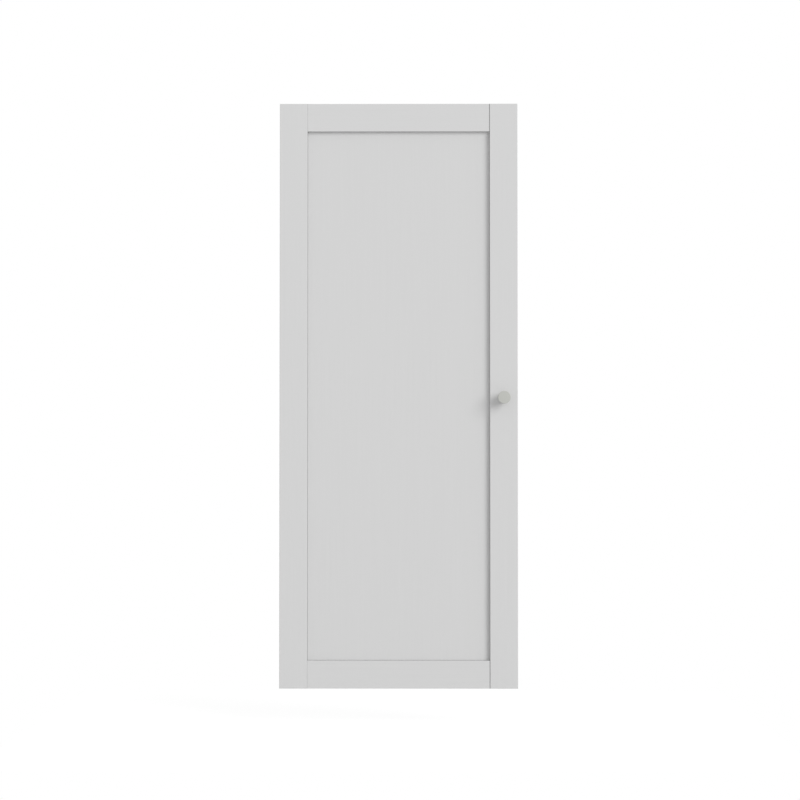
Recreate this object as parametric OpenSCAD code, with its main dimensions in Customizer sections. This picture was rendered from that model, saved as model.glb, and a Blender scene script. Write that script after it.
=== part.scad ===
// Half-height bookcase door: frame and panel, turned knob, two cup hinges on the back.
// Millimetres. The modules draw in the door's own directions: X from the hinge edge,
// Y from the back face towards the cabinet, Z up from the bottom edge.

/* [Door frame] */
// Width of the door
door_w = 395; // [330:1:600]
// Height of the door
door_h = 970; // [600:1:1400]
// Thickness of the stiles
door_t = 20; // [19:0.5:25]
// Width of each stile
stile_w = 46; // [46:1:80]
// Width of each rail
rail_w = 46; // [40:1:90]
// How far the rail fronts lie behind the stile fronts
rail_setback = 1; // [0.3:0.1:1.5]
// Radius of the front arrises
arris_r = 0.5; // [0.3:0.1:3]
// Radius of the back arrises
back_arris_r = 0.8; // [0.3:0.1:1]

/* [Panel] */
// Thickness of the panel
panel_t = 8; // [5:0.5:9]
// Depth of the panel's front behind the stile fronts
panel_recess = 8; // [6:0.5:9]
// Depth of the groove that holds the panel
groove_depth = 5; // [4:0.25:5.5]
// Free space between the panel's edge and the groove's bottom
panel_play = 0.5; // [0.25:0.25:1]
// Chamfer round the panel's edges
panel_chamfer = 0.8; // [0.4:0.1:1.2]
// Clearance of tongues, panel and dowels on each face
joint_clearance = 0.1; // [0.05:0.01:0.2]

/* [Dowels] */
// Diameter of the dowels
dowel_d = 8; // [6:0.5:9]
// Length of the dowels
dowel_l = 35; // [25:1:40]
// Distance between the two dowels of a joint
dowel_pitch = 20; // [16:1:24]
// Empty depth beyond each dowel's end
dowel_relief = 1; // [0.5:0.25:2]
// Chamfer at the dowel's ends
dowel_chamfer = 1; // [0.5:0.25:1.5]

/* [Knob] */
// Diameter of the knob's face
knob_d = 21; // [16:0.5:30]
// Diameter of the knob at the door
knob_base_d = 17; // [13:0.5:20]
// Length of the knob
knob_l = 24; // [20:0.5:35]
// Radius round the knob's face
knob_edge_r = 1.2; // [0.5:0.1:2]
// Height of the knob above the bottom of the door
knob_z = 481; // [300:1:700]
// Diameter of the knob screw
knob_screw_d = 4; // [3:0.5:5]
// How far the screw reaches into the knob
knob_screw_bite = 9; // [6:0.5:12]

/* [Hinge cups] */
// Distance from each end of the door to the middle of its hinge
hinge_inset = 100; // [80:1:140]
// Diameter of the cup
cup_d = 35; // [35:0.5:36]
// Wood left between the cup's bore and the door's edge
cup_edge = 5; // [4:0.25:5.25]
// Depth of the cup
cup_depth = 12.5; // [12:0.25:13]
// Wall of the cup
cup_wall = 1; // [0.8:0.1:1.2]
// Outside radius round the cup's floor
cup_floor_r = 1; // [0.5:0.1:1.2]
// Least room between a cup and the panel
cup_web = 0.9; // [0.5:0.1:1.5]
// Depth of the bore beyond the cup's floor
cup_relief = 0.5; // [0.3:0.1:1]
// Thickness of the cup's flange
flange_t = 1.2; // [1:0.1:1.6]
// Distance between the two flange screws
flange_screw_pitch = 48; // [45:1:52]
// Offset of the flange screws from the cup's middle
flange_screw_offset = 6; // [5:0.5:9]
// Diameter of the flange screws
flange_screw_d = 3.5; // [3:0.25:4]
// Length of the flange screws in the wood
flange_screw_l = 13; // [10:0.5:15]
// Radius of the ear over each flange screw
flange_ear_r = 6; // [5:0.25:7]
// Width of the flange's rim round the cup
flange_rim = 2; // [1.5:0.25:3]

/* [Hinge arms] */
// Thickness of the arm's steel
arm_t = 1.8; // [1.2:0.1:2]
// Outside radius of the arm's bends
arm_bend_r = 2.2; // [2:0.1:2.5]
// Height of the arm above the cabinet side
arm_rise = 14; // [13:0.5:16]
// Length of the arm's foot over the plate
arm_foot_l = 46; // [40:1:55]
// Diameter of the rivet pins
pin_d = 2; // [1.8:0.1:2.2]
// Width of the inner link
inner_link_w = 6; // [5:0.5:6]
// Thickness of each outer link plate
link_plate_t = 1.5; // [1:0.1:1.6]
// Half the width of the links between their eyes
link_half_w = 1.6; // [1.3:0.1:1.7]

/* [Mounting plates] */
// Gap between the door's back and the cabinet's front edge
door_gap = 2.5; // [2.5:0.25:4]
// How far the closed door covers the cabinet side
overlay = 16; // [15:0.25:17]
// Distance of the plate's holes behind the cabinet's front edge
plate_setback = 37; // [37:0.5:40]
// Distance between the plate's two holes
plate_hole_pitch = 32; // [32:1:36]
// Diameter of the plate's holes
plate_hole_d = 5; // [4:0.25:6]
// Thickness of the plate
plate_t = 2; // [1.5:0.25:3]
// Width of the ridge that the arm straddles
ridge_w = 10.4; // [9:0.2:10.6]
// Diameter of the screw that clamps the arm
fixing_screw_d = 5; // [4:0.5:6]
// Diameter of the screw that sets the door sideways
side_screw_d = 4; // [3:0.5:5]
// How far the arm can slide under the fixing screw
depth_travel = 2; // [1:0.25:3]

/* [Hidden] */
$fn = 48;

// How far cuts run past the faces that they open
cut = 1;

// Frame and panel
opening_w = door_w - 2 * stile_w;
rail_t = door_t - rail_setback;
groove_front = door_t - panel_recess + joint_clearance;
groove_back = door_t - panel_recess - panel_t - joint_clearance;
tongue_l = groove_depth - panel_play;
tongue_t = panel_t;
tongue_front = door_t - panel_recess;
panel_lap = groove_depth - panel_play;
panel_w = opening_w + 2 * panel_lap;
panel_h = door_h - 2 * rail_w + 2 * panel_lap;

// Dowels, measured up from the door's bottom edge and in from its back
dowel_y = door_t / 2;
dowel_margin = (rail_w - dowel_pitch) / 2;
dowel_z = [dowel_margin, dowel_margin + dowel_pitch];
top_dowel_z = [for (z = dowel_z) door_h - z];

// Knob and its screw
knob_x = door_w - stile_w / 2;
knob_hole_play = 0.5;
knob_hole_d = knob_screw_d + knob_hole_play;
thread_clearance = 0.05;
knob_bore_relief = 1;
knob_bore_l = knob_screw_bite + knob_bore_relief;
knob_screw_head_d = 2 * knob_screw_d;
knob_screw_head_h = 0.65 * knob_screw_d;
recess_reach = 0.56;
recess_width = 0.14;
recess_depth = 0.6;
head_edge_r = 0.8;

// Hinges: heights, and plan points tied to the middle of the cup
hinge_z = [hinge_inset, door_h - hinge_inset];
cup_x = cup_edge + cup_d / 2;
cup_fit = 0.05;
pin_fit = 0.03;
pin_running = 0.06;
cup_pin_a = [cup_x - 10.9, -3.9];
cup_pin_b = [cup_x - 6.8, -7];
arm_pin_c = [cup_x + 13.2, 11.2];
arm_pin_d = [cup_x + 10.9, -8.7];
inner_bend = [cup_x + 8.5, -2.3];
outer_bend = [cup_x + 4.5, -8.2];
eye_wall = 1.2;
eye_r = pin_d / 2 + eye_wall;

// The open end of the outer link, wide enough for what its pin strays
open_play = 1.2;
open_bore_d = pin_d + 2 * open_play;
open_eye_wall = 0.65;
open_eye_r = open_bore_d / 2 + open_eye_wall;
open_eye = cup_pin_b + [-0.4, -0.9];

// The stack of links, arm and cheeks, out from the hinge's middle
side_play = 0.4;
strip_inset = 0.05;
outer_link_z = inner_link_w / 2 + side_play;
arm_cheek_z = outer_link_z + link_plate_t + side_play;
arm_pin_l = 2 * (arm_cheek_z + arm_t);
cheek_z = arm_cheek_z + arm_t + 2 * side_play;
cheek_margin = 1.4;
cheek_x = cup_pin_a[0] - pin_d / 2 - cheek_margin;
cheek_l = cup_pin_b[0] - cup_pin_a[0] + pin_d + 2 * cheek_margin;
pin_grip = 3;
cup_pin_l = 2 * (cheek_z + pin_grip);
pin_end_play = 0.1;

// Flange screws
flange_head_d = 7;
flange_head_h = 1.8;
flange_screw_relief = 1;

// Arm
side_x = overlay;
arm_top_x = side_x + arm_rise;
arm_nose_r = 2.3;
arm_neck_r = 3;
arm_foot_gap = 1;
arm_foot_x = side_x + plate_t + arm_foot_gap;
arm_foot_y = 17;
arm_foot_end = arm_foot_y + arm_foot_l;
web_setback = 1.5;
arm_web_y = arm_foot_y + web_setback;
shoulder_in = 3;
arm_shoulder = [arm_top_x - arm_bend_r - arm_neck_r, arm_foot_y + arm_neck_r + shoulder_in];

// Mounting plate and the screws that hold the arm to it
plate_y = door_gap + plate_setback;
plate_ear_r = 7;
ridge_h = arm_rise - arm_t;
ridge_front_in = 3;
ridge_back_in = 2;
ridge_y = arm_foot_y + ridge_front_in;
ridge_l = arm_foot_l - ridge_front_in - ridge_back_in;
plate_screw_reach = 7;
screw_tip_gap = 0.5;
side_screw_in = 11;
side_screw_y = arm_foot_y + side_screw_in;
side_head_d = 6;
side_head_h = 1.6;
fixing_screw_in = 10;
fixing_screw_y = arm_foot_end - fixing_screw_in;
fixing_head_d = 8.5;
fixing_head_h = 2.4;

// A bar's section: its width along X, its back at Y = 0, round front and back arrises
module bar_section(w, t) {
    translate([0, arris_r - t])
        square([w, t - arris_r - back_arris_r]);
    translate([arris_r, -t])
        square([w - 2 * arris_r, 2 * arris_r]);
    translate([back_arris_r, -2 * back_arris_r])
        square([w - 2 * back_arris_r, 2 * back_arris_r]);
    for (x = [arris_r, w - arris_r])
        translate([x, arris_r - t])
            circle(arris_r);
    for (x = [back_arris_r, w - back_arris_r])
        translate([x, -back_arris_r])
            circle(back_arris_r);
}

// A bar of that section along X, its width running up Z
module cross_bar(w, t, l) {
    translate([l, 0, 0])
        rotate([0, -90, 0])
            linear_extrude(l)
                bar_section(w, t);
}

// An upright board with all its arrises round
module upright_board(w, t, h) {
    intersection() {
        linear_extrude(h)
            bar_section(w, t);
        cross_bar(h, t, w);
    }
}

// Places a drawing whose Z points into the door's back face
module into_door(x, z) {
    translate([x, 0, z])
        rotate([90, 0, 0])
            children();
}

// The room in the frame that the panel and the tongues take, cut as one groove
module groove(x, z, l_x, l_z) {
    translate([x, -groove_front, z])
        cube([l_x, groove_front - groove_back, l_z]);
}

// The dowels' bores along X, centred on a joint line at the given heights
module dowel_bores(x, heights) {
    for (z = heights)
        translate([x - dowel_l / 2 - dowel_relief, -dowel_y, z])
            rotate([0, 90, 0])
                cylinder(d = dowel_d + 2 * joint_clearance, h = dowel_l + 2 * dowel_relief);
}

// A stile without its fittings, its grooved edge at X = stile_w
module plain_stile() {
    difference() {
        upright_board(stile_w, door_t, door_h);
        groove(stile_w - groove_depth, -cut, groove_depth + cut, door_h + 2 * cut);
        dowel_bores(stile_w, concat(dowel_z, top_dowel_z));
    }
}

module hinge_stile() {
    color("gainsboro")
        difference() {
            plain_stile();
            for (z = hinge_z)
                into_door(cup_x, z)
                    cup_bores();
        }
}

module knob_stile() {
    color("gainsboro")
        difference() {
            translate([door_w, 0, 0])
                mirror([1, 0, 0])
                    plain_stile();
            into_door(knob_x, knob_z)
                translate([0, 0, -cut])
                    cylinder(d = knob_hole_d, h = door_t + 2 * cut);
        }
}

// A rail with its tongues, its grooved edge uppermost
module plain_rail() {
    difference() {
        union() {
            translate([stile_w, 0, 0])
                cross_bar(rail_w, rail_t, opening_w);
            translate([stile_w - tongue_l, -tongue_front, 0])
                cube([opening_w + 2 * tongue_l, tongue_t, rail_w - back_arris_r]);
        }
        groove(0, rail_w - groove_depth, door_w, groove_depth + cut);
        for (x = [stile_w, door_w - stile_w])
            dowel_bores(x, dowel_z);
    }
}

module bottom_rail() {
    color("gainsboro")
        plain_rail();
}

module top_rail() {
    color("gainsboro")
        translate([0, 0, door_h])
            mirror([0, 0, 1])
                plain_rail();
}

// The panel's outline in plan: a slab with chamfered edges
module slab_section(w) {
    polygon([[0, panel_chamfer], [panel_chamfer, 0], [w - panel_chamfer, 0],
        [w, panel_chamfer], [w, panel_t - panel_chamfer], [w - panel_chamfer, panel_t],
        [panel_chamfer, panel_t], [0, panel_t - panel_chamfer]]);
}

module plain_panel() {
    intersection() {
        linear_extrude(panel_h)
            slab_section(panel_w);
        translate([panel_w, 0, 0])
            rotate([0, -90, 0])
                linear_extrude(panel_w)
                    slab_section(panel_h);
    }
}

// The panel keeps clear of the cups, which a narrow stile brings close to its edge
module panel() {
    color("lightgray")
        difference() {
            translate([stile_w - panel_lap, panel_recess - door_t, rail_w - panel_lap])
                plain_panel();
            for (z = hinge_z)
                into_door(cup_x, z)
                    cylinder(d = cup_d + 2 * cup_web, h = door_t);
        }
}

module dowel() {
    cylinder(d = dowel_d - 2 * dowel_chamfer, h = dowel_l);
    translate([0, 0, dowel_chamfer])
        cylinder(d = dowel_d, h = dowel_l - 2 * dowel_chamfer);
    cylinder(d1 = dowel_d - 2 * dowel_chamfer, d2 = dowel_d, h = dowel_chamfer);
    translate([0, 0, dowel_l - dowel_chamfer])
        cylinder(d1 = dowel_d, d2 = dowel_d - 2 * dowel_chamfer, h = dowel_chamfer);
}

module dowels() {
    color("burlywood")
        for (x = [stile_w, door_w - stile_w], z = concat(dowel_z, top_dowel_z))
            translate([x - dowel_l / 2, -dowel_y, z])
                rotate([0, 90, 0])
                    dowel();
}

module knob() {
    color([0.74, 0.74, 0.72])
        into_door(knob_x, knob_z)
            translate([0, 0, door_t])
                difference() {
                    rotate_extrude()
                        knob_section();
                    translate([0, 0, -cut])
                        cylinder(d = knob_screw_d + 2 * thread_clearance, h = knob_bore_l + cut);
                }
}

// Half the knob's outline: a taper that widens to a flat face with a round edge
module knob_section() {
    polygon([[0, 0], [knob_base_d / 2, 0], [knob_d / 2, knob_l - knob_edge_r],
        [knob_d / 2 - knob_edge_r, knob_l], [0, knob_l]]);
    translate([knob_d / 2 - knob_edge_r, knob_l - knob_edge_r])
        circle(knob_edge_r);
}

// Half the outline of a pan head: flat top, round edge, its seat at Y = 0
module pan_head_section(head_d, head_h) {
    translate([0, -head_h])
        square([head_d / 2 - head_edge_r, head_h]);
    translate([0, head_edge_r - head_h])
        square([head_d / 2, head_h - head_edge_r]);
    translate([head_d / 2 - head_edge_r, head_edge_r - head_h])
        circle(head_edge_r);
}

// A pan-head screw with its point along Z and its head below the origin
module pan_screw(d, l, head_d, head_h) {
    difference() {
        union() {
            cylinder(d = d, h = l);
            rotate_extrude()
                pan_head_section(head_d, head_h);
        }
        translate([0, 0, -head_h])
            cross_recess(head_d, head_h);
    }
}

// The cross-shaped recess for a driver
module cross_recess(head_d, head_h) {
    for (a = [0, 90])
        rotate([0, 0, a])
            translate([-head_d * recess_reach / 2, -head_d * recess_width / 2, -cut])
                cube([head_d * recess_reach, head_d * recess_width, head_h * recess_depth + cut]);
}

module knob_screw() {
    color("silver")
        into_door(knob_x, knob_z)
            pan_screw(knob_screw_d, door_t + knob_screw_bite, knob_screw_head_d, knob_screw_head_h);
}

// The bores in the door's back for one hinge: the cup and its two flange screws
module cup_bores() {
    screw_bore_l = flange_screw_l + flange_screw_relief;
    translate([0, 0, -cut])
        cylinder(d = cup_d + 2 * cup_fit, h = cup_depth + cup_relief + cut);
    for (side = [-1, 1])
        translate([flange_screw_offset, side * flange_screw_pitch / 2, -cut])
            cylinder(d = flange_screw_d + 2 * thread_clearance, h = screw_bore_l + cut);
}

// The flange's outline: a ring round the cup with an ear over each screw
module flange_outline() {
    circle(d = cup_d + 2 * flange_rim);
    translate([flange_screw_offset - flange_ear_r, -flange_screw_pitch / 2])
        square([2 * flange_ear_r, flange_screw_pitch]);
    for (side = [-1, 1])
        translate([flange_screw_offset, side * flange_screw_pitch / 2])
            circle(flange_ear_r);
}

// A solid of revolution with a flat floor and a round edge under it
module round_floor(r, depth, edge_r) {
    rotate_extrude() {
        square([r, depth - edge_r]);
        square([r - edge_r, depth]);
        translate([r - edge_r, depth - edge_r])
            circle(edge_r);
    }
}

// The cup with its flange, and a cheek inside each end of the pins
module cup(z) {
    color("silver")
        into_door(cup_x, z)
            difference() {
                union() {
                    translate([0, 0, -flange_t])
                        linear_extrude(flange_t)
                            flange_outline();
                    round_floor(cup_d / 2, cup_depth, cup_floor_r);
                }
                difference() {
                    translate([0, 0, -flange_t - cut])
                        cylinder(d = cup_d - 2 * cup_wall, h = cup_depth - cup_wall + flange_t + cut);
                    for (side = [-1, 1])
                        translate([cheek_x - cup_x, side * (cheek_z + cup_d / 2) - cup_d / 2, 0])
                            cube([cheek_l, cup_d, cup_depth]);
                }
                for (side = [-1, 1])
                    translate([flange_screw_offset, side * flange_screw_pitch / 2, -flange_t - cut])
                        cylinder(d = flange_screw_d + 2 * thread_clearance, h = flange_t + 2 * cut);
                for (p = [cup_pin_a, cup_pin_b])
                    translate([p[0] - cup_x, cup_pin_l / 2 + pin_end_play, -p[1]])
                        rotate([90, 0, 0])
                            cylinder(d = pin_d + 2 * pin_fit, h = cup_pin_l + 2 * pin_end_play);
            }
}

module cup_screws(z) {
    color("silver")
        for (side = [-1, 1])
            into_door(cup_x + flange_screw_offset, z + side * flange_screw_pitch / 2)
                translate([0, 0, -flange_t])
                    pan_screw(flange_screw_d, flange_screw_l + flange_t, flange_head_d, flange_head_h);
}

// Pins through plan points, centred on the hinge's middle
module cross_pins(points, l, z) {
    for (p = points)
        translate([p[0], p[1], z - l / 2])
            cylinder(d = pin_d, h = l);
}

module cup_pins(z) {
    color("silver")
        cross_pins([cup_pin_a, cup_pin_b], cup_pin_l, z);
}

module arm_pins(z) {
    color("silver")
        cross_pins([arm_pin_c, arm_pin_d], arm_pin_l, z);
}

// A straight strip in plan from p to q, its sides just inside its round ends
module strip(p, q, r) {
    translate(p)
        rotate(atan2(q[1] - p[1], q[0] - p[0]))
            translate([0, strip_inset - r])
                square([norm(q - p), 2 * (r - strip_inset)]);
    for (c = [p, q])
        translate(c)
            circle(r);
}

// A link in plan: two eyes and the bent strip between them
module link_outline(p, bend, q, p_eye_r, q_eye_r) {
    strip(p, bend, link_half_w);
    strip(bend, q, link_half_w);
    translate(p)
        circle(p_eye_r);
    translate(q)
        circle(q_eye_r);
}

module inner_link(z) {
    color("darkgray")
        translate([0, 0, z - inner_link_w / 2])
            difference() {
                linear_extrude(inner_link_w)
                    link_outline(cup_pin_a, inner_bend, arm_pin_c, eye_r, eye_r);
                for (p = [cup_pin_a, arm_pin_c])
                    translate([p[0], p[1], -cut])
                        cylinder(d = pin_d + 2 * pin_running, h = inner_link_w + 2 * cut);
            }
}

// The outer link is a pair of equal plates, one on each side of the inner link
module outer_link(z) {
    color("darkgray")
        for (z_plate = [-outer_link_z - link_plate_t, outer_link_z])
            translate([0, 0, z + z_plate])
                difference() {
                    linear_extrude(link_plate_t)
                        link_outline(open_eye, outer_bend, arm_pin_d, open_eye_r, eye_r);
                    translate([open_eye[0], open_eye[1], -cut])
                        cylinder(d = open_bore_d, h = link_plate_t + 2 * cut);
                    translate([arm_pin_d[0], arm_pin_d[1], -cut])
                        cylinder(d = pin_d + 2 * pin_running, h = link_plate_t + 2 * cut);
                }
}

// The front of the arm's side walls in plan: the hooked nose and the neck
module arm_nose_outline() {
    strip(arm_pin_d, arm_pin_c, arm_nose_r);
    strip(arm_pin_c, arm_shoulder, arm_neck_r);
}

// The foot across its length, with a bend where the back wall meets each side wall
module arm_foot_section() {
    half_w = arm_cheek_z + arm_t;
    translate([arm_foot_x, -half_w])
        square([arm_top_x - arm_bend_r - arm_foot_x, 2 * half_w]);
    translate([arm_foot_x, arm_bend_r - half_w])
        square([arm_top_x - arm_foot_x, 2 * (half_w - arm_bend_r)]);
    for (side = [-1, 1])
        translate([arm_top_x - arm_bend_r, side * (half_w - arm_bend_r)])
            circle(arm_bend_r);
}

// The arm before its channel and its holes are taken out
module arm_blank() {
    translate([0, 0, -arm_cheek_z - arm_t])
        linear_extrude(2 * (arm_cheek_z + arm_t))
            arm_nose_outline();
    translate([0, arm_foot_y, 0])
        rotate([-90, 0, 0])
            linear_extrude(arm_foot_l)
                arm_foot_section();
}

// The room between the side walls, which leaves the back wall over the foot
module arm_channel() {
    translate([0, -arm_top_x, -arm_cheek_z])
        cube([arm_top_x - arm_t, arm_top_x + arm_foot_end + cut, 2 * arm_cheek_z]);
    translate([0, -arm_top_x, -arm_cheek_z])
        cube([2 * arm_top_x, arm_top_x + arm_web_y, 2 * arm_cheek_z]);
}

// The side screw's thread, and the slot that runs out at the arm's end for the fixing screw
module arm_screw_holes() {
    slot_r = fixing_screw_d / 2 + thread_clearance;
    translate([arm_top_x - arm_t - cut, side_screw_y, 0])
        rotate([0, 90, 0])
            cylinder(d = side_screw_d + 2 * thread_clearance, h = arm_t + 2 * cut);
    translate([arm_top_x - arm_t - cut, fixing_screw_y - depth_travel, 0]) {
        rotate([0, 90, 0])
            cylinder(r = slot_r, h = arm_t + 2 * cut);
        translate([0, 0, strip_inset - slot_r])
            cube([arm_t + 2 * cut, arm_foot_l, 2 * (slot_r - strip_inset)]);
    }
}

module arm(z) {
    color("silver")
        translate([0, 0, z])
            difference() {
                arm_blank();
                arm_channel();
                for (p = [arm_pin_c, arm_pin_d])
                    translate([p[0], p[1], -arm_pin_l / 2 - cut])
                        cylinder(d = pin_d + 2 * pin_fit, h = arm_pin_l + 2 * cut);
                arm_screw_holes();
            }
}

// The plate on the cabinet side: a base with two ears and the ridge that the arm straddles
module mounting_plate(z) {
    color("silver")
        translate([side_x, plate_y, z])
            difference() {
                union() {
                    rotate([0, 90, 0])
                        linear_extrude(plate_t)
                            plate_outline();
                    translate([0, ridge_y - plate_y, -ridge_w / 2])
                        cube([ridge_h, ridge_l, ridge_w]);
                }
                for (side = [-1, 1])
                    translate([-cut, 0, side * plate_hole_pitch / 2])
                        rotate([0, 90, 0])
                            cylinder(d = plate_hole_d, h = plate_t + 2 * cut);
                for (s = [[side_screw_y, side_screw_d], [fixing_screw_y, fixing_screw_d]])
                    translate([ridge_h - plate_screw_reach, s[0] - plate_y, 0])
                        rotate([0, 90, 0])
                            cylinder(d = s[1] + 2 * thread_clearance, h = plate_screw_reach + cut);
            }
}

// The plate's outline, its ears along X
module plate_outline() {
    translate([-plate_hole_pitch / 2, -plate_ear_r])
        square([plate_hole_pitch, 2 * plate_ear_r]);
    for (side = [-1, 1])
        translate([side * plate_hole_pitch / 2, 0])
            circle(plate_ear_r);
}

// A pan-head screw whose point runs towards the cabinet side
module arm_screw(y, z, d, head_d, head_h) {
    color("silver")
        translate([arm_top_x, y, z])
            rotate([0, -90, 0])
                pan_screw(d, arm_t + plate_screw_reach - screw_tip_gap, head_d, head_h);
}

module side_screw(z) {
    arm_screw(side_screw_y, z, side_screw_d, side_head_d, side_head_h);
}

module fixing_screw(z) {
    arm_screw(fixing_screw_y, z, fixing_screw_d, fixing_head_d, fixing_head_h);
}

// Places the whole door in the frame of its lower mounting plate
module in_frame() {
    translate([-side_x, -plate_y, -hinge_z[0]])
        children();
}

in_frame() hinge_stile();
in_frame() knob_stile();
in_frame() top_rail();
in_frame() bottom_rail();
in_frame() panel();
in_frame() dowels();
in_frame() knob();
in_frame() knob_screw();
in_frame() cup(hinge_z[1]);  // upper_cup
in_frame() cup_screws(hinge_z[1]);  // upper_cup_screws
in_frame() cup_pins(hinge_z[1]);  // upper_cup_pins
in_frame() inner_link(hinge_z[1]);  // upper_inner_link
in_frame() outer_link(hinge_z[1]);  // upper_outer_link
in_frame() arm_pins(hinge_z[1]);  // upper_arm_pins
in_frame() arm(hinge_z[1]);  // upper_arm
in_frame() mounting_plate(hinge_z[1]);  // upper_mounting_plate
in_frame() side_screw(hinge_z[1]);  // upper_side_screw
in_frame() fixing_screw(hinge_z[1]);  // upper_fixing_screw
in_frame() cup(hinge_z[0]);  // lower_cup
in_frame() cup_screws(hinge_z[0]);  // lower_cup_screws
in_frame() cup_pins(hinge_z[0]);  // lower_cup_pins
in_frame() inner_link(hinge_z[0]);  // lower_inner_link
in_frame() outer_link(hinge_z[0]);  // lower_outer_link
in_frame() arm_pins(hinge_z[0]);  // lower_arm_pins
in_frame() arm(hinge_z[0]);  // lower_arm
in_frame() mounting_plate(hinge_z[0]);  // lower_mounting_plate
in_frame() side_screw(hinge_z[0]);  // lower_side_screw
in_frame() fixing_screw(hinge_z[0]);  // lower_fixing_screw
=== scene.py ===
# Bookcase door: looks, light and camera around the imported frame
import math
import bpy
import numpy as np
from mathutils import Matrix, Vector


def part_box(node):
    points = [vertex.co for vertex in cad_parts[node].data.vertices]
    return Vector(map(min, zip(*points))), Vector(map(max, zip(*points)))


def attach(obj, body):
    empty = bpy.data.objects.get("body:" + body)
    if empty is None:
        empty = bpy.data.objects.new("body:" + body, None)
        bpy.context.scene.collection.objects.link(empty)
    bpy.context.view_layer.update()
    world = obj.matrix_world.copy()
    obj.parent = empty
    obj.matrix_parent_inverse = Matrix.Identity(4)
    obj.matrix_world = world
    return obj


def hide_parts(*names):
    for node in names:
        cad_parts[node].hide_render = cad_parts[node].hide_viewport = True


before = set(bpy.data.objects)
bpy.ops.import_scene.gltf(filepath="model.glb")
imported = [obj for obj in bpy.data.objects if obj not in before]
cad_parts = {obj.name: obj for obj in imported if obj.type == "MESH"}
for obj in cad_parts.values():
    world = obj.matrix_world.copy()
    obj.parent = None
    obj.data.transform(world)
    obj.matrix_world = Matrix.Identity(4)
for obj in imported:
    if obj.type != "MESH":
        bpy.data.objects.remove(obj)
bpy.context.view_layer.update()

millimetre = 0.001


# Places read from the frame, in metres

stileLow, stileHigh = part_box("hinge_stile")
farLow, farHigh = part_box("knob_stile")
doorLeft, doorRight = stileLow[0], farHigh[0]
doorFront, doorBack = stileLow[1], stileHigh[1]
doorBottom, doorTop = stileLow[2], stileHigh[2]
print("door front", round(doorRight - doorLeft, 4), "x", round(doorTop - doorBottom, 4))


# Colours are written as sRGB hex and turned to linear here
def linear(hexColour):
    parts = [int(hexColour[i:i + 2], 16) / 255 for i in (1, 3, 5)]
    return [c / 12.92 if c <= 0.04045 else ((c + 0.055) / 1.055) ** 2.4 for c in parts] + [1.0]


# Adds one node: its settings, its fixed inputs and the sockets that feed it
def addNode(tree, kind, settings=None, inputs=None, links=None):
    node = tree.nodes.new(kind)
    for name, value in (settings or {}).items():
        setattr(node, name, value)
    for name, value in (inputs or {}).items():
        node.inputs[name].default_value = value
    for name, source in (links or {}).items():
        tree.links.new(source, node.inputs[name])
    return node


# An empty material with its surface shader joined to the output
def newMaterial(name, shaderInputs):
    material = bpy.data.materials.new(name)
    material.use_nodes = True
    tree = material.node_tree
    tree.nodes.clear()
    shader = addNode(tree, "ShaderNodeBsdfPrincipled", inputs=shaderInputs)
    addNode(tree, "ShaderNodeOutputMaterial", links={"Surface": shader.outputs["BSDF"]})
    return material, tree, shader


# Stretched noise in the object's own coordinates, one cell so many mm along each axis
def cellNoise(tree, cellMm, detail=2.0, roughness=0.5):
    place = addNode(tree, "ShaderNodeTexCoord")
    size = [1000 / c for c in cellMm]
    stretch = addNode(tree, "ShaderNodeMapping", inputs={"Scale": size},
                      links={"Vector": place.outputs["Object"]})
    return addNode(tree, "ShaderNodeTexNoise",
                   inputs={"Scale": 1.0, "Detail": detail, "Roughness": roughness},
                   links={"Vector": stretch.outputs["Vector"]})


# A colour that wanders between two tones with the noise
def twoTones(tree, noise, dark, light):
    tone = addNode(tree, "ShaderNodeMix", {"data_type": "RGBA"}, links={0: noise.outputs["Fac"]})
    tone.inputs[6].default_value = linear(dark)
    tone.inputs[7].default_value = linear(light)
    return tone.outputs[2]


# Raises and lowers the surface by a noise, with its depth in mm
def roughen(tree, shader, noise, depthMm, strength):
    bump = addNode(tree, "ShaderNodeBump",
                   inputs={"Distance": depthMm * millimetre, "Strength": strength},
                   links={"Height": noise.outputs["Fac"]})
    tree.links.new(bump.outputs["Normal"], shader.inputs["Normal"])


# Foil-wrapped board: a printed and embossed film on smooth fibreboard, with a fine straight
# grain pressed into it. It gives the eye a calm grey-white with the faintest streaks and a
# satin sheen. Grain runs along the part, so bars across the door have it turned.
foil = {
    "light": "#CDCDCD",
    "dark": "#C9C9C9",
    "streakWidth": 1.6,    # mm across the grain
    "streakLength": 160.0,  # mm along it
    "poreWidth": 0.45,     # mm across the grain
    "poreLength": 14.0,    # mm along it
    "poreDepth": 0.03,     # mm
    "poreStrength": 0.6,
    "roughness": 0.5,
    "ior": 1.5,            # of the film's lacquer
    "paintedSeamShade": 0.45,     # tone of the painted shade: a fine dark line painted where a board meets its neighbour, for the shade in that crease
    # mm, width of that line, below nought where it lies on the low side of the neighbour's edge
    "paintedSeamShadeMm": {"panelLeft": 0.65, "panelRight": -0.5, "panelBottom": 0.55,
               "railLeft": 0.4, "railRight": -1.0},
}


# Painted shade: where two boards meet, the shade that falls in the crease and the shadow of the
# small step between them are painted into the colour as a fine dark line.
# The mask is one within the line, which starts at a place along the axis and is widthMm wide.
def paintedSeamShadeMask(tree, axis, start, widthMm):
    place = addNode(tree, "ShaderNodeTexCoord")
    split = addNode(tree, "ShaderNodeSeparateXYZ", links={"Vector": place.outputs["Object"]})
    width = widthMm * millimetre
    return addNode(tree, "ShaderNodeMath", {"operation": "COMPARE"},
                   {1: start + width / 2, 2: abs(width) / 2}, {0: split.outputs[axis]})


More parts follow.
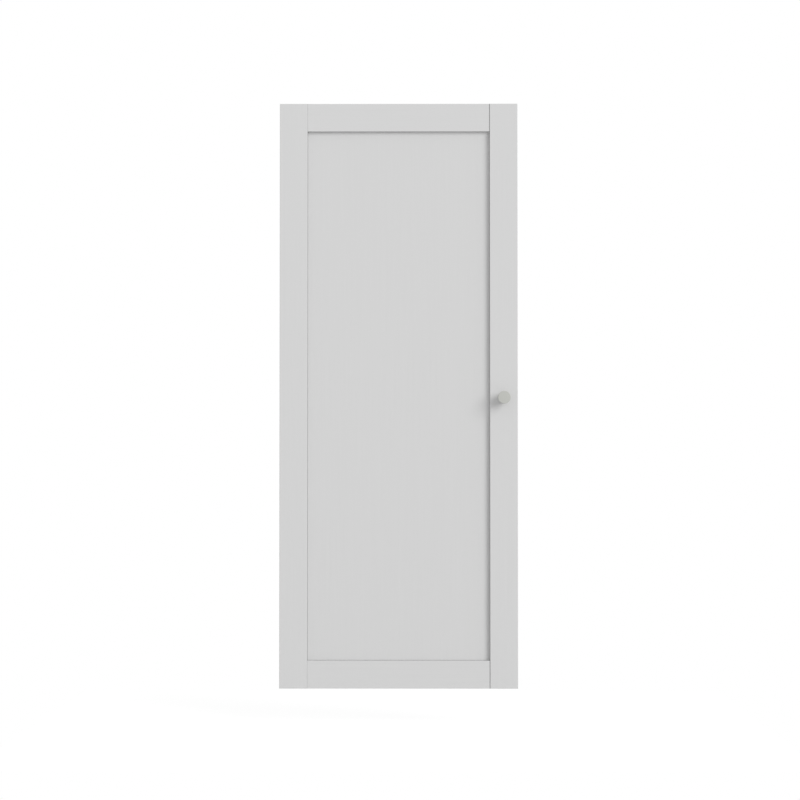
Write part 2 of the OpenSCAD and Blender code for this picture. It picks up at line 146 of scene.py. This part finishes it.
def foilBoard(name, grainAxis, shadedSeams=()):
    material, tree, shader = newMaterial(name, {"IOR": foil["ior"], "Roughness": foil["roughness"]})
    cell = [foil["streakWidth"]] * 3
    cell[grainAxis] = foil["streakLength"]
    streaks = cellNoise(tree, cell, detail=3.0, roughness=0.6)
    colour = twoTones(tree, streaks, foil["dark"], foil["light"])
    # Each seam darkens the colour along a fine line of painted shade
    for shadedSeam in shadedSeams:
        mask = paintedSeamShadeMask(tree, *shadedSeam)
        shade = addNode(tree, "ShaderNodeMapRange",
                        inputs={"To Min": 1.0, "To Max": foil["paintedSeamShade"]},
                        links={"Value": mask.outputs[0]})
        scaled = addNode(tree, "ShaderNodeVectorMath", {"operation": "SCALE"},
                         links={0: colour, "Scale": shade.outputs["Result"]})
        colour = scaled.outputs[0]
    tree.links.new(colour, shader.inputs["Base Color"])
    pore = [foil["poreWidth"]] * 3
    pore[grainAxis] = foil["poreLength"]
    pores = cellNoise(tree, pore, detail=1.0)
    roughen(tree, shader, pores, foil["poreDepth"], foil["poreStrength"])
    return material


# Powder-coated zinc: baked polyester powder on a die casting, a soft warm light grey whose
# fine orange peel scatters the light.
powder = {
    "light": "#B6B7B2",
    "dark": "#B2B3AE",
    "peel": 0.7,          # mm across one dimple
    "peelDepth": 0.02,    # mm
    "peelStrength": 0.5,
    "roughness": 0.55,
    "ior": 1.5,
}


def powderCoat():
    material, tree, shader = newMaterial("powderCoatedZinc",
                                         {"IOR": powder["ior"], "Roughness": powder["roughness"]})
    peel = cellNoise(tree, [powder["peel"]] * 3)
    colour = twoTones(tree, peel, powder["dark"], powder["light"])
    tree.links.new(colour, shader.inputs["Base Color"])
    roughen(tree, shader, peel, powder["peelDepth"], powder["peelStrength"])
    return material


# Plated steel and zinc: a thin bright metal layer on stamped, drawn or cast parts, with faint
# marks that stretch its highlights. Nickel looks warm, zinc looks blue. The marks run along the
# strip on rolled parts and round no way in particular on cast ones.
metals = {
    "nickelPlatedSteel": {"light": "#D6D0C4", "dark": "#BFB9AE", "roughness": 0.3,
                          "markMm": [6.0, 6.0, 0.4]},
    "nickelPlatedZinc": {"light": "#CBC7BE", "dark": "#B5B1A9", "roughness": 0.36,
                         "markMm": [2.0, 2.0, 2.0]},
    "drawnSteel": {"light": "#D9D8D6", "dark": "#C2C1BF", "roughness": 0.22,
                   "markMm": [0.4, 0.4, 4.0]},
    "zincPlatedSteel": {"light": "#D5D8DC", "dark": "#B9BDC3", "roughness": 0.28,
                        "markMm": [1.5, 1.5, 1.5]},
}
markShine = {"smoother": 0.06, "rougher": 0.08}  # how far the marks change the roughness


def platedMetal(name):
    metal = metals[name]
    material, tree, shader = newMaterial(name, {"Metallic": 1.0})
    marks = cellNoise(tree, metal["markMm"], detail=3.0)
    colour = twoTones(tree, marks, metal["dark"], metal["light"])
    tree.links.new(colour, shader.inputs["Base Color"])
    spread = addNode(tree, "ShaderNodeMapRange",
                     inputs={"To Min": metal["roughness"] - markShine["smoother"],
                             "To Max": metal["roughness"] + markShine["rougher"]},
                     links={"Value": marks.outputs["Fac"]})
    tree.links.new(spread.outputs["Result"], shader.inputs["Roughness"])
    return material


# Beech: turned dowel rod, pale reddish brown with short dark flecks along the rod.
beechRod = {"light": "#D2A878", "dark": "#A9794C", "fleckLength": 9.0, "fleckWidth": 0.5,
            "roughness": 0.6}


def beech():
    material, tree, shader = newMaterial("beech", {"Roughness": beechRod["roughness"]})
    width = beechRod["fleckWidth"]
    flecks = cellNoise(tree, [beechRod["fleckLength"], width, width])
    colour = twoTones(tree, flecks, beechRod["dark"], beechRod["light"])
    tree.links.new(colour, shader.inputs["Base Color"])
    return material


# The knob: a straight taper that widens to a flat face with a small round edge, turned in steps
# of a few degrees. Its bore for the screw stays open at the back. Lengths are in metres.
knobFacts = {
    "steps": 128,
    "edgeRadius": 0.0007,
    "edgeSteps": 8,
    "baseRadius": 0.007,
    "boreRadius": 0.00205,
    "boreDepth": 0.010,
    "sharpAngle": 30.0,    # degrees, edges past this stay crisp
}


def makeKnob():
    low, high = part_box("knob")
    axisX, axisZ = (low[0] + high[0]) / 2, (low[2] + high[2]) / 2
    length, faceRadius = high[1] - low[1], (high[0] - low[0]) / 2
    edge = knobFacts["edgeRadius"]
    turn = np.linspace(0, math.pi / 2, knobFacts["edgeSteps"])
    bore, depth = knobFacts["boreRadius"], knobFacts["boreDepth"]
    outline = [(bore, depth), (bore, 0), (knobFacts["baseRadius"], 0)]
    outline += [(faceRadius - edge + edge * math.cos(t), length - edge + edge * math.sin(t))
                for t in turn]
    radius, along = np.array(outline).T
    steps, rings = knobFacts["steps"], len(outline)
    angle = np.linspace(0, 2 * math.pi, steps, endpoint=False)
    # Each outline point goes round the axis: x and z turn with the angle, y runs out from the door
    x = axisX + np.outer(radius, np.cos(angle))
    z = axisZ + np.outer(radius, np.sin(angle))
    y = np.repeat(high[1] - along, steps).reshape(rings, steps)
    points = np.stack([x, y, z], axis=2).reshape(-1, 3)
    # Between two rings lies a band of quads, then a cap closes the bore and another the face
    ring, step = np.meshgrid(np.arange(rings - 1), np.arange(steps), indexing="ij")
    here, there = ring * steps + step, ring * steps + (step + 1) % steps
    faces = np.stack([here, there, there + steps, here + steps], axis=2).reshape(-1, 4).tolist()
    faces.append(list(range(steps))[::-1])
    faces.append(list(range((rings - 1) * steps, rings * steps)))
    mesh = bpy.data.meshes.new("turnedKnob")
    mesh.from_pydata(points.tolist(), [], faces)
    mesh.validate()
    mesh.polygons.foreach_set("use_smooth", [True] * len(mesh.polygons))
    mesh.set_sharp_from_angle(angle=math.radians(knobFacts["sharpAngle"]))
    mesh.materials.append(powderCoat())
    knob = bpy.data.objects.new("turned_knob", mesh)
    bpy.context.collection.objects.link(knob)
    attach(knob, "door")
    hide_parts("knob")


# Gives every node that keeps its own mesh its finish
def dressCadNodes():
    openLeft, openRight = stileHigh[0], farLow[0]
    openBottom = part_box("bottom_rail")[1][2]
    shadedSeam = foil["paintedSeamShadeMm"]
    upright = foilBoard("foilBoardUpright", 2)
    # The panel and the rails get painted shade along their seams with the stiles and the bottom
    # rail
    infill = foilBoard("foilBoardPanel", 2, [("X", openLeft, shadedSeam["panelLeft"]),
                                             ("X", openRight, shadedSeam["panelRight"]),
                                             ("Z", openBottom, shadedSeam["panelBottom"])])
    across = foilBoard("foilBoardAcross", 0, [("X", openLeft, shadedSeam["railLeft"]),
                                              ("X", openRight, shadedSeam["railRight"])])
    nickel, casting = platedMetal("nickelPlatedSteel"), platedMetal("nickelPlatedZinc")
    pin, zinc = platedMetal("drawnSteel"), platedMetal("zincPlatedSteel")
    finish = {"hinge_stile": upright, "knob_stile": upright, "panel": infill, "top_rail": across,
              "bottom_rail": across, "dowels": beech(), "knob_screw": zinc}
    for end in ("upper_", "lower_"):
        finish.update({end + "cup": nickel, end + "arm": nickel, end + "inner_link": nickel,
                       end + "outer_link": nickel, end + "mounting_plate": casting,
                       end + "cup_pins": pin, end + "arm_pins": pin, end + "cup_screws": zinc,
                       end + "side_screw": zinc, end + "fixing_screw": zinc})
    for node, material in finish.items():
        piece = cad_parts[node]
        piece.data.materials.clear()
        piece.data.materials.append(material)


# White where the camera, a mirror ray or a clear ray looks, a plain level for everything else
def splitByRay(tree, seen, lit):
    ray = addNode(tree, "ShaderNodeLightPath")
    either = addNode(tree, "ShaderNodeMath", {"operation": "MAXIMUM"},
                     links={0: ray.outputs["Is Camera Ray"], 1: ray.outputs["Is Glossy Ray"]})
    anyOf = addNode(tree, "ShaderNodeMath", {"operation": "MAXIMUM"},
                    links={0: either.outputs[0], 1: ray.outputs["Is Transmission Ray"]})
    return addNode(tree, "ShaderNodeMixShader",
                   links={0: anyOf.outputs[0], 1: lit.outputs[0], 2: seen.outputs[0]})


studio = {
    "fill": 0.688,        # level of the even light from all round
    "keyStrength": 1.68,  # watts per square metre
    "keySpread": 36.0,    # degrees across, as wide as a large softbox close by
    "keyTurn": 42.0,      # degrees to the right of the door's normal
    "keyRise": 19.5,      # degrees above level
    "floorDrop": 0.06,    # m below the door
    "floorHalf": 0.6,     # m from the middle of the floor to its edge
    "floorTone": 0.715,   # share of the light that it sends back up
    "floorPlain": 0.82,   # level of plain white that the camera sees in it
    "floorShaded": 0.25,  # share of the light that the camera sees, shadow and all
}


def makeStudio():
    world = bpy.data.worlds.new("studio")
    bpy.context.scene.world = world
    world.use_nodes = True
    tree = world.node_tree
    tree.nodes.clear()
    seen = addNode(tree, "ShaderNodeBackground", inputs={"Color": [1, 1, 1, 1], "Strength": 1.0})
    lit = addNode(tree, "ShaderNodeBackground",
                  inputs={"Color": [1, 1, 1, 1], "Strength": studio["fill"]})
    mixed = splitByRay(tree, seen, lit)
    addNode(tree, "ShaderNodeOutputWorld", links={"Surface": mixed.outputs[0]})

    turn, rise = math.radians(studio["keyTurn"]), math.radians(studio["keyRise"])
    towards = Vector((math.sin(turn) * math.cos(rise), -math.cos(turn) * math.cos(rise),
                      math.sin(rise)))
    lamp = bpy.data.lights.new("key", "SUN")
    lamp.angle = math.radians(studio["keySpread"])
    lamp.energy = studio["keyStrength"]
    key = bpy.data.objects.new("key", lamp)
    bpy.context.collection.objects.link(key)
    key.rotation_euler = towards.to_track_quat("Z", "Y").to_euler()


# The camera stands well back, below the middle of the door, and looks up a little
cameraFacts = {
    "distance": 4.0,          # m in front of the door
    "fromHingeEdge": 0.2287,  # m to the right of the door's left edge
    "aboveBottom": 0.3671,    # m
    "tiltUp": 1.575,          # degrees
    "turnLeft": 0.414,        # degrees
    "lens": 108.63,           # mm
    "sensor": 36.0,           # mm
}


def makeCamera():
    data = bpy.data.cameras.new("camera")
    data.sensor_width = cameraFacts["sensor"]
    data.lens = cameraFacts["lens"]
    camera = bpy.data.objects.new("camera", data)
    bpy.context.collection.objects.link(camera)
    camera.location = (doorLeft + cameraFacts["fromHingeEdge"], doorFront - cameraFacts["distance"],
                       doorBottom + cameraFacts["aboveBottom"])
    camera.rotation_euler = (math.radians(90 + cameraFacts["tiltUp"]), 0,
                             math.radians(cameraFacts["turnLeft"]))
    bpy.context.scene.camera = camera


# A pale floor close below the door, which also sends some light up to its foot
def makeFloor():
    half = studio["floorHalf"]
    x, y, z = (doorLeft + doorRight) / 2, doorFront, doorBottom - studio["floorDrop"]
    corners = [(x - half, y - half, z), (x + half, y - half, z),
               (x + half, y + half, z), (x - half, y + half, z)]
    mesh = bpy.data.meshes.new("floor")
    mesh.from_pydata(corners, [], [(0, 1, 2, 3)])
    floor = bpy.data.objects.new("floor", mesh)
    bpy.context.collection.objects.link(floor)
    material = bpy.data.materials.new("paleFloor")
    material.use_nodes = True
    tree = material.node_tree
    tree.nodes.clear()
    # What the camera sees is mostly plain white, with enough of the lit floor left in it to keep
    # the door's shadow. Where nothing shades the floor the two together come to white.
    plain = addNode(tree, "ShaderNodeEmission", inputs={"Color": [1, 1, 1, 1],
                                                        "Strength": studio["floorPlain"]})
    shaded = addNode(tree, "ShaderNodeBsdfDiffuse",
                     inputs={"Color": [studio["floorShaded"]] * 3 + [1]})
    seen = addNode(tree, "ShaderNodeAddShader", links={0: plain.outputs[0], 1: shaded.outputs[0]})
    lit = addNode(tree, "ShaderNodeBsdfDiffuse", inputs={"Color": [studio["floorTone"]] * 3 + [1]})
    mixed = splitByRay(tree, seen, lit)
    addNode(tree, "ShaderNodeOutputMaterial", links={"Surface": mixed.outputs[0]})
    mesh.materials.append(material)


bpy.context.scene.view_settings.view_transform = "Standard"
makeCamera()
print("camera set")
makeStudio()
makeFloor()
print("studio set")
dressCadNodes()
print("finishes set")
makeKnob()
print("knob turned")
